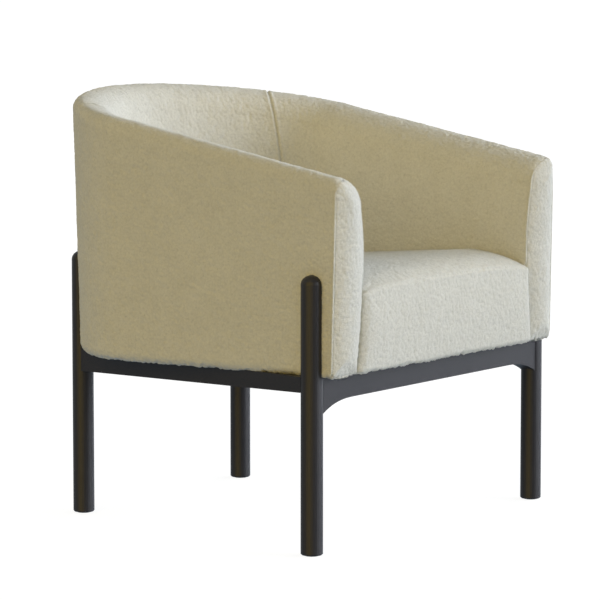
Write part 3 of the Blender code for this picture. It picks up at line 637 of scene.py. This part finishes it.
def metal_look():
    look = Look("zinc_plate", (0.62, 0.62, 0.60), 0.34, 1.0)
    fine = look.noise(900.0, 3.0)
    colour = look.ramp(fine, (0.3, (0.54, 0.54, 0.52)), (0.7, (0.68, 0.68, 0.66)))
    return look.finish(colour, look.bump(fine, 0.0001, 0.3))


def nylon_look():
    look = Look("black_nylon", (0.05, 0.05, 0.05), 0.5)
    fine = look.noise(1200.0, 2.0)
    colour = look.ramp(fine, (0.3, grey(0.04)), (0.7, grey(0.07)))
    return look.finish(colour, look.bump(fine, 0.0002, 0.3))


def foam_look():
    look = Look("cut_foam", (0.86, 0.80, 0.60), 0.9)
    open_cells = look.cells(700.0)
    colour = look.ramp(open_cells, (0.1, (0.74, 0.66, 0.45)), (0.7, (0.88, 0.82, 0.62)))
    return look.finish(colour, look.bump(open_cells, 0.0005, 0.6))


BOUCLE = boucle_look()
ACROSS_GRAIN, WITH_GRAIN = 900.0, 28.0
WOOD_UP = wood_look("ebonised_wood_up", (ACROSS_GRAIN, ACROSS_GRAIN, WITH_GRAIN))
WOOD_ACROSS = wood_look("ebonised_wood_across", (WITH_GRAIN, ACROSS_GRAIN, ACROSS_GRAIN))
WOOD_ALONG = wood_look("ebonised_wood_along", (ACROSS_GRAIN, WITH_GRAIN, ACROSS_GRAIN))
BEECH = bare_wood_look("beech_frame", (0.56, 0.39, 0.23), (0.42, 0.27, 0.15), (160, 160, 12))
PLY = bare_wood_look("bent_plywood", (0.62, 0.46, 0.29), (0.46, 0.31, 0.18), (14, 14, 170))
WEBBING = cloth_look("elastic_webbing", (0.24, 0.20, 0.15), (0.08, 0.065, 0.05), 900.0, 0.0005)
LINING = cloth_look("underside_cloth", (0.030, 0.030, 0.030), (0.009, 0.009, 0.009), 700.0, 0.0003)
ZINC = metal_look()
NYLON = nylon_look()
FOAM = foam_look()

# the first of these that a node's name starts with gives its material
LOOK_OF = (
    ("leg_bolt", ZINC), ("mount_bolt", ZINC), ("leg_", WOOD_UP), ("glide", NYLON),
    ("base_rail_front", WOOD_ACROSS), ("base_rail_rear", WOOD_ACROSS), ("base_rail", WOOD_ALONG),
    ("corner_block", BEECH), ("arm_post", BEECH), ("back_post", BEECH), ("top_rail", BEECH),
    ("seat_ring", PLY), ("shell_board", PLY), ("strap", WEBBING), ("dust_cover", LINING),
    ("arm_pad", FOAM), ("back_pad", FOAM), ("seat_foam", FOAM),
)


def dress_frame():
    """Each CAD node that stays gets the material of its kind."""
    for name, node in frame["nodes"].items():
        for start, look in LOOK_OF:
            if name.startswith(start):
                for place_in in node.material_slots:
                    place_in.link = "OBJECT"
                    place_in.material = look
                break


def fabric(piece, node):
    """A fabric piece rides on the body and takes the place of its CAD solid."""
    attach(piece, ROOT)
    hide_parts(node)
    return piece


# ---- panels of the wall -------------------------------------------------------------
MEASURED_AT = 1.5            # the section at this station sets the number of rows
INSIDE_TILT = 0.3            # the inside covers face up a little


def wall_points(first, last, path, slant):
    """A grid over the wall between two stations. A seam end may slant with height."""
    run = np.interp([first, last], PLAN_S, PLAN_RUN)
    columns = max(16, round((run[1] - run[0]) / STEP))
    stations = np.interp(mix(run[0], run[1], spaced(columns)), PLAN_RUN, PLAN_S)
    length = np.linalg.norm(np.diff(np.array(path(MEASURED_AT)), axis=0), axis=1).sum()
    count = round(length / STEP)
    section = np.stack([resampled(path(float(s)), count) for s in stations], axis=1)
    depth, z = section[..., 0], section[..., 1]
    share = (stations - first) / (last - first)
    drop = np.maximum(0, z[:1] - z)
    station = stations[None] - drop * (slant[0] * (1 - share) + slant[1] * share)
    return place(station, depth, z)


def wall_panel(name, first, last, path, seams, node, slant):
    """One cover of the wall. seams gives the kind of seam along its start and its end."""
    points = wall_points(first, last, path, slant)
    if path is outer_path:
        points = ragged(points)
    distances = dict(zip(("top", "bottom", "start", "end"), runs_of(points)))
    relief = 0.0
    for edge, (deep, lip) in seams.items():
        shown = seam_shown(points[..., 2]) if (deep, lip) == FACE_SEAM else 1.0
        relief = relief + shown * seam_relief(distances[edge], deep, lip)
    middle = (first + last) / 2
    turn = np.interp(middle, PLAN_S, PLAN_TURN)
    outward = (math.sin(turn), -math.cos(turn), 0.0)
    if path is inner_path:
        outward = (-outward[0], -outward[1], INSIDE_TILT)
    piece = fabric(panel(name, points, outward, relief), node)


def wall_covers():
    """Outside and inside covers of the right arm, the left arm and the back."""
    kinds = (("outside", outer_path, OUT_SEAM, 0.0), ("inside", inner_path, IN_SEAM, IN_SEAM_SLANT))
    for kind, path, end, slant in kinds:
        wall_panel(f"{kind}_arm_fabric_right", 0.0, end, path,
                   {"start": FACE_SEAM, "end": BACK_SEAM}, f"{kind}_cover_right", (0.0, slant))
        wall_panel(f"{kind}_arm_fabric_left", 4 - end, 4.0, path,
                   {"start": BACK_SEAM, "end": FACE_SEAM}, f"{kind}_cover_left", (-slant, 0.0))
        wall_panel(f"{kind}_back_fabric", end, 4 - end, path,
                   {"start": BACK_SEAM, "end": BACK_SEAM}, f"{kind}_cover_back", (slant, -slant))


# ---- arm facings --------------------------------------------------------------------
FACE_RIM_Z = rim_z(0.0)
FACE_GROOVE = 0.0016         # the facings dip this much into their seams
ARC_LOW = 6                  # levels round the base edge, round the rim, and points across
ARC_HIGH = 38
EDGE_ACROSS = 12


def facing_depth(z):
    """Width of a facing from the outer side. It narrows below the level of the seat."""
    if z >= FACE_TOP_Z:
        return float(thickness(0.0, FACE_RIM_Z - z))
    down = (FACE_TOP_Z - z) / (FACE_TOP_Z - BASE_Z)
    return ARM_THICK - FACE_TAPER * min(1.0, down) ** FACE_POWER


def facing_edges(z):
    """Depths of the outer and the inner edge of a facing at a height."""
    outer, inner = 0.0, facing_depth(z)
    low, top = BASE_Z, FACE_RIM_Z
    if z < low + BASE_EDGE_FRONT:
        up = (low + BASE_EDGE_FRONT - z) / BASE_EDGE_FRONT
        outer = BASE_EDGE_FRONT * (1 - math.sqrt(max(0.0, 1 - up * up)))
    if z > top - RIM_OUT_TALL:
        up = (z - top + RIM_OUT_TALL) / RIM_OUT_TALL
        outer = RIM_OUT_R * (1 - math.sqrt(max(0.0, 1 - up * up)))
    if z > top - RIM_IN_TALL:
        up = (z - top + RIM_IN_TALL) / RIM_IN_TALL
        inner = RIM_OUT_R + (RIM_WIDE - RIM_OUT_R) * math.sqrt(max(0.0, 1 - up * up))
    return outer, inner


def facing_heights():
    """Levels from the base to the rim, closer together where the outline turns over."""
    low_turns = np.linspace(0, math.pi / 2, ARC_LOW)
    low_arc = [BASE_Z + BASE_EDGE_FRONT * (1 - math.cos(t)) for t in low_turns]
    start = FACE_RIM_Z - RIM_IN_TALL
    middle = np.linspace(low_arc[-1], start, round((start - low_arc[-1]) / STEP))[1:-1]
    high_turns = np.linspace(0, math.pi / 2, ARC_HIGH)
    high_arc = [start + RIM_IN_TALL * math.sin(t) for t in high_turns]
    return low_arc + middle.tolist() + high_arc


def facing_outline():
    """The outline as (depth, height) pairs, round from the base of the outer side."""
    edges = [(facing_edges(z), z) for z in facing_heights()]
    outer = [(e[0], z) for e, z in edges]
    inner = [(e[1], z) for e, z in edges]
    across = np.linspace(0, 1, EDGE_ACROSS)[1:-1]
    top = [(mix(outer[-1][0], inner[-1][0], t), outer[-1][1]) for t in across]
    base = [(mix(inner[0][0], outer[0][0], t), outer[0][1]) for t in across]
    return np.array(outer + top + inner[::-1] + base)


def facing(tag, side):
    """A padded facing: a crowned front that rolls over into its seam all round."""
    heights = np.array(facing_heights())
    columns = round(ARM_THICK / STEP)
    shares = spaced(columns)
    outline = facing_outline()
    edges = np.array([facing_edges(z) for z in heights])
    depth = edges[:, :1] + (edges[:, 1:] - edges[:, :1]) * shares[None]
    level = np.repeat(heights[:, None], len(shares), axis=1)
    spots = np.stack([depth, level], axis=-1).reshape(-1, 1, 2)
    fine = np.concatenate([mix(outline, np.roll(outline, -1, axis=0), t) for t in (0, 0.5)])
    away = np.linalg.norm(spots - fine[None], axis=-1).min(axis=1).reshape(depth.shape)
    high = np.clip((level - FACE_RIM_Z + ROLL_TALL) / ROLL_TALL, 0, 1)
    crown = 1 - (1 - np.minimum(away / FACE_ROUND, 1)) ** 2
    crown = FACE_CROWN * crown ** mix(1.0, ROLL_POWER, high)
    x = side * (half_width(level) - depth)
    y = arm_front(level) + SEAM_BACK - crown
    points = ragged(np.stack([x, y, level], axis=-1))
    relief = -FACE_GROOVE * np.exp(-(away / GROOVE_WIDE) ** 2) * seam_shown(level)
    made = panel(f"arm_facing_fabric_{tag}", points, (0, -1, 0), relief, FACING_THICK)
    fabric(made, f"arm_facing_{tag}")


def tube(name, path, radii, look, sides=8):
    """A closed tube of changing radius along a path, with flat ends."""
    path = np.array(path)
    along = np.gradient(path, axis=0)
    along /= np.linalg.norm(along, axis=1, keepdims=True)
    guide = np.array([0.0, 1.0, 0.0])
    across = np.cross(along, guide)
    across /= np.maximum(np.linalg.norm(across, axis=1, keepdims=True), 1e-9)
    third = np.cross(along, across)
    turns = np.linspace(0, 2 * math.pi, sides, endpoint=False)
    ring = (np.cos(turns)[None, :, None] * across[:, None]
            + np.sin(turns)[None, :, None] * third[:, None])
    points = path[:, None] + ring * np.asarray(radii)[:, None, None]
    count = len(path)
    faces = [list(range(sides)), list(range((count - 1) * sides, count * sides))[::-1]]
    for r in range(count - 1):
        for k in range(sides):
            m = (k + 1) % sides
            a, b = r * sides, (r + 1) * sides
            faces.append([a + k, b + k, b + m, a + m])
    flat = points.reshape(-1, 3)
    if volume_of(flat, faces) < 0:
        faces = [f[::-1] for f in faces]
    return mesh_piece(name, flat, faces, look)


RIDGE_R = 0.0023
RIDGE_OUT = 0.0002           # the ridges stand this far outside the facing's outline
RIDGE_BACK = 0.0004          # and this far behind its seam
RIDGE_LEVELS = slice(4, -12)          # they start above the base edge and end below the crest
RIDGE_SEAT = 0.004           # the inner one starts this far below the cross seam
RIDGE_FADE = (0.03, 0.22, 0.15)       # shares of its length at both ends, least thickness
RIDGE_WAVE = 0.00025         # the sewing isn't quite straight
RIDGE_WAVE_SIZE = 0.006


def facing_ridge(tag, side):
    """The folded seam allowance that stands up as a fine ridge round a facing."""
    for edge, name, out in ((0, "outer", RIDGE_OUT), (1, "inner", -RIDGE_OUT)):
        path = []
        for z in facing_heights()[RIDGE_LEVELS]:
            x = side * (float(half_width(z)) - facing_edges(z)[edge] + out)
            path.append((x, float(arm_front(z)) + SEAM_BACK + RIDGE_BACK, z))
        if name == "inner":
            path = [p for p in path if p[2] > SEAT_SEAM_Z - RIDGE_SEAT]
        path = np.array(path)
        away = np.linspace(0, 1, len(path))
        first, last, least = RIDGE_FADE
        fade = np.clip(np.minimum(away / first, (1 - away) / last), least, 1)
        path = path + RIDGE_WAVE * clouds(path, RIDGE_WAVE_SIZE, 5)[:, None]
        ridge = tube(f"seam_ridge_{name}_{tag}", path, RIDGE_R * fade, BOUCLE)
        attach(ridge, ROOT)


# ---- seat ---------------------------------------------------------------------------
SEAT_SIDE_Z = 0.44           # the clear width between the arms is taken at this height


def seat_line(back, line):
    """Height of the seat at distances back from its front."""
    crest, drop, power = line
    nose = crest - drop * (1 - np.clip(back / SEAT_NOSE, 0, 1)) ** power
    return nose - SEAT_FALL * np.maximum(0, back - SEAT_NOSE)


ARM_SIDE = np.linspace(0, 2, 400)
ARM_DEPTH = np.array([float(thickness(s, rim_z(s) - SEAT_SIDE_Z)) for s in ARM_SIDE])
ARM_XY = place(ARM_SIDE, ARM_DEPTH, np.full(len(ARM_SIDE), SEAT_SIDE_Z))


def seat_half(y):
    """Half the clear width between the arms at distances back."""
    order = np.argsort(ARM_XY[:, 1])
    return np.interp(y, ARM_XY[order, 1], ARM_XY[order, 0])


SEAT_EDGE = 0.010            # the seat drops by this much within this far of the arms
SEAT_SIDE_DROP = 0.006
SEAT_CORNER = 0.016          # the front of the seat curves back to the facing seams here
CORNER_BLEND = 0.030         # the rounded corners die out over this much of the top
SEAT_BUNCH = 1.15            # the rows are a little closer together at the nose
SEAT_SPARE = 0.02            # length that the rows allow for the nose
CROWN_POWER = 4              # the crown is flat in the middle and falls near the sides


def seat_front(edge, z):
    """Front line of the seat at distances in from its sides."""
    ease = np.sqrt(1 - (1 - np.clip(edge / SEAT_CORNER, 0, 1)) ** 2)
    return mix(arm_front(z) + SEAM_BACK, SEAT_FRONT_Y, ease)


def facing_x(z):
    """Half the clear width between the facings."""
    return half_width(z) - np.vectorize(facing_depth)(z)


def seat_top():
    """Crowned top of the seat, from the cross seam over the nose and back under the back."""
    deep = SEAT_BACK_Y - SEAT_FRONT_Y
    rows = round((deep + SEAT_SPARE) / STEP)
    columns = round(2 * seat_half(0.0) / STEP)
    back = spaced(rows)[:, None] ** SEAT_BUNCH * deep
    across = 2 * spaced(columns)[None] - 1
    half = seat_half(SEAT_FRONT_Y + back + 0 * across)
    near = np.clip(1 - back / CORNER_BLEND, 0, 1)
    half = mix(half, float(facing_x(SEAT_SEAM_Z)), near * near * (3 - 2 * near))
    x = across * half
    edge = (1 - np.abs(across)) * half
    inset = seat_front(edge, SEAT_SEAM_Z) - SEAT_FRONT_Y
    y = SEAT_FRONT_Y + back + inset * near
    crown = 1 - np.abs(across) ** CROWN_POWER
    z = mix(seat_line(back, SIDE_LINE), seat_line(back, MIDDLE_LINE), crown)
    z = z - SEAT_SIDE_DROP * np.clip(1 - edge / SEAT_EDGE, 0, 1) ** 2
    points = np.stack([x, y, z], axis=-1)
    front, _, _, _ = runs_of(points)
    made = panel("seat_top_fabric", points, (0, 0, 1), seam_relief(front, *SEAT_SEAM))
    fabric(made, "seat_top_cover")


BORDER_CROWN = 0.0045        # the border swells forward by this much
BORDER_SIDE = 0.050          # the swelling grows over this distance from the facings
BORDER_FOOT = 0.006          # it draws in by this much at its foot
BORDER_FOOT_SHARE = 0.05     # the lowest share of its height
BORDER_LAP = 0.0022          # it is pressed against the facings by this much
BORDER_TOP_Z = 0.449         # height and width that set its rows and columns
BORDER_WIDE = 0.52
BORDER_EXTRA = 6             # more rows, for the finer steps along its two edges


def seat_border():
    """Front border of the seat, a little crowned, from the base up to the cross seam."""
    rows = round((BORDER_TOP_Z - BASE_Z) / STEP) + BORDER_EXTRA
    columns = round(BORDER_WIDE / STEP)
    up = spaced(rows)[:, None]
    across = 2 * spaced(columns)[None] - 1
    crown = 1 - np.abs(across) ** CROWN_POWER
    top = mix(SIDE_LINE[0] - SIDE_LINE[1], MIDDLE_LINE[0] - MIDDLE_LINE[1], crown)
    z = mix(BASE_Z, top, up)
    half = facing_x(z) + BORDER_LAP
    x = across * half
    edge = (1 - np.abs(across)) * half
    swell = 1 - (1 - np.clip(edge / BORDER_SIDE, 0, 1)) ** 2
    y = seat_front(edge, z) - BORDER_CROWN * swell * np.sin(np.pi * up)
    y = y + BORDER_FOOT * np.clip(1 - up / BORDER_FOOT_SHARE, 0, 1) ** 2
    points = ragged(np.stack([x, y, z + 0 * across], axis=-1))
    _, seam, left, right = runs_of(points)
    relief = seam_relief(seam, *SEAT_SEAM)
    relief = relief + seam_relief(left, *BORDER_SEAM) + seam_relief(right, *BORDER_SEAM)
    made = panel("seat_front_fabric", points, (0, -1, 0), relief)
    fabric(made, "seat_front_cover")


# ---- underside ----------------------------------------------------------------------
LINING_UP = 0.0006           # height of the stapled edge above the base edge
LINING_SAG = 0.007
LINING_THICK = 0.0009
LINING_RINGS = 30
LINING_STEP = 0.012          # spacing of its points round the edge
LINING_WAVE = 0.0012         # it hangs a little unevenly
LINING_WAVE_SIZE = 0.06
LINING_WAVE_POWER = 6        # but not at its edge


def hull_of(spots):
    """Corners of the convex outline of flat points, in order."""
    rows = sorted(set(map(tuple, np.round(spots, 5).tolist())))
    chains = []
    for line in (rows, rows[::-1]):
        chain = []
        for spot in line:
            while len(chain) > 1:
                (ax, ay), (bx, by) = chain[-2], chain[-1]
                if (bx - ax) * (spot[1] - ay) - (by - ay) * (spot[0] - ax) > 0:
                    break
                chain.pop()
            chain.append(spot)
        chains.append(chain[:-1])
    return np.array(chains[0] + chains[1])


def lining():
    """The cloth under the seat, stapled round its edge and sagging a little between."""
    node = frame["nodes"]["dust_cover"]
    spots = np.array([node.matrix_world @ v.co for v in node.data.vertices])
    edge = hull_of(spots[:, :2])
    step = np.linalg.norm(np.roll(edge, -1, axis=0) - edge, axis=1)
    run = np.concatenate([[0], np.cumsum(step)])
    count = round(run[-1] / LINING_STEP)
    at = np.linspace(0, run[-1], count, endpoint=False)
    loop = np.vstack([edge, edge[:1]])
    edge = np.stack([np.interp(at, run, loop[:, k]) for k in (0, 1)], axis=1)
    middle = edge.mean(axis=0)
    share = np.linspace(1, 0, LINING_RINGS)[:-1, None, None]
    flat = middle + (edge - middle) * share
    level = base_z(flat[..., 1]) + LINING_UP - LINING_SAG * (1 - share[..., 0] ** 2)
    grid = np.concatenate([flat, level[..., None]], axis=-1)
    free = 1 - share[..., 0] ** LINING_WAVE_POWER
    grid[..., 2] += LINING_WAVE * clouds(grid * (1, 1, 0), LINING_WAVE_SIZE, 71) * free
    centre = np.array([[*middle, float(grid[-1, :, 2].mean())]])
    drop = np.array([0, 0, LINING_THICK])
    points = np.concatenate([grid.reshape(-1, 3), centre,
                             grid.reshape(-1, 3) - drop, centre - drop])
    rings, half = len(grid), len(grid) * count + 1
    faces = []
    for k in range(count):
        m = (k + 1) % count
        for r in range(rings - 1):
            a, b = r * count, (r + 1) * count
            quad = [a + k, a + m, b + m, b + k]
            faces += [quad, [half + v for v in quad[::-1]]]
        last = (rings - 1) * count
        tip = [last + k, last + m, rings * count]
        faces += [tip, [half + v for v in tip[::-1]]]
        faces.append([m, k, half + k, half + m])
    if volume_of(points, faces) < 0:
        faces = [f[::-1] for f in faces]
    made = mesh_piece("underside_lining", points, faces, LINING)
    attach(made, ROOT)
    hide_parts("dust_cover")


# ---- camera, light and floor --------------------------------------------------------
CAMERA_AT = (-5.0734, -3.6446, 1.0812)
CAMERA_TURN = 54.63          # degrees to the right of a look straight at the chair's front
CAMERA_DOWN = 6.397          # degrees
CAMERA_LENS = 208.57         # millimetres


def camera():
    """The camera's viewpoint."""
    data = bpy.data.cameras.new("camera")
    data.lens = CAMERA_LENS
    data.sensor_width = 36.0
    data.clip_end = 60.0
    made = bpy.data.objects.new("camera", data)
    made.location = CAMERA_AT
    made.rotation_euler = (math.radians(90 - CAMERA_DOWN), 0.0, math.radians(-CAMERA_TURN))
    bpy.context.scene.collection.objects.link(made)
    bpy.context.scene.camera = made


# name, direction towards the light, softness in degrees, strength and colour
LIGHTS = (
    ("right", (0.93, -0.18, 0.26), 45.0, 1.645, (0.90, 0.93, 1.0)),
    ("front", (0.45, -0.87, 0.22), 35.0, 2.35, (0.90, 0.93, 1.0)),
    ("left", (-0.95, -0.10, 0.30), 70.0, 1.204, (1.0, 0.66, 0.0)),
    ("behind", (0.15, 0.90, 0.40), 70.0, 0.20, (1.0, 0.92, 0.75)),
)
ROOM = (0.68, 0.83, 1.0)
ROOM_STRENGTH = 0.324


def sun(name, towards, softness, strength, colour):
    """A sun lamp that shines from the given side."""
    data = bpy.data.lights.new(name, "SUN")
    data.angle = math.radians(softness)
    data.energy = strength
    data.color = colour
    made = bpy.data.objects.new(name, data)
    made.rotation_euler = Vector(towards).to_track_quat("Z", "Y").to_euler()
    made.location = Vector(towards) * 3
    bpy.context.scene.collection.objects.link(made)


def studio():
    """Soft suns from a few sides, and a white room that the camera sees as pure white."""
    for light in LIGHTS:
        sun(*light)
    world = bpy.data.worlds.new("white_room")
    bpy.context.scene.world = world
    world.use_nodes = True
    tree = world.node_tree
    shade = tree.nodes["Background"]
    shade.inputs["Color"].default_value = (*ROOM, 1.0)
    shade.inputs["Strength"].default_value = ROOM_STRENGTH
    white = tree.nodes.new("ShaderNodeBackground")
    white.inputs["Color"].default_value = (1.0, 1.0, 1.0, 1.0)
    white.inputs["Strength"].default_value = 1.0
    seen = tree.nodes.new("ShaderNodeLightPath").outputs["Is Camera Ray"]
    both = tree.nodes.new("ShaderNodeMixShader")
    tree.links.new(seen, both.inputs[0])
    tree.links.new(shade.outputs[0], both.inputs[1])
    tree.links.new(white.outputs[0], both.inputs[2])
    tree.links.new(both.outputs[0], tree.nodes["World Output"].inputs["Surface"])
    bpy.context.scene.view_settings.view_transform = "Standard"


FLOOR_HALF = 40.0            # half the side of the floor
FLOOR_GLOW = 0.90


def floor():
    """A white floor that shows only faint shadows, and throws no light back on the chair."""
    corners = [(-1, -1), (1, -1), (1, 1), (-1, 1)]
    points = np.array([(x * FLOOR_HALF, y * FLOOR_HALF, 0.0) for x, y in corners])
    look = Look("pale_floor", (0.25, 0.25, 0.25), 0.9)
    look.shader.inputs["Specular IOR Level"].default_value = 0.0
    look.shader.inputs["Emission Color"].default_value = (1.0, 1.0, 1.0, 1.0)
    look.shader.inputs["Emission Strength"].default_value = FLOOR_GLOW
    made = mesh_piece("floor", points, [[0, 1, 2, 3]], look.material)
    made.visible_diffuse = False
    made.visible_glossy = False


# ---- the chair ----------------------------------------------------------------------
camera()
studio()
floor()
dress_frame()
wall_covers()
for tag, side in (("left", -1), ("right", 1)):
    facing(tag, side)
    facing_ridge(tag, side)
seat_top()
seat_border()
lining()
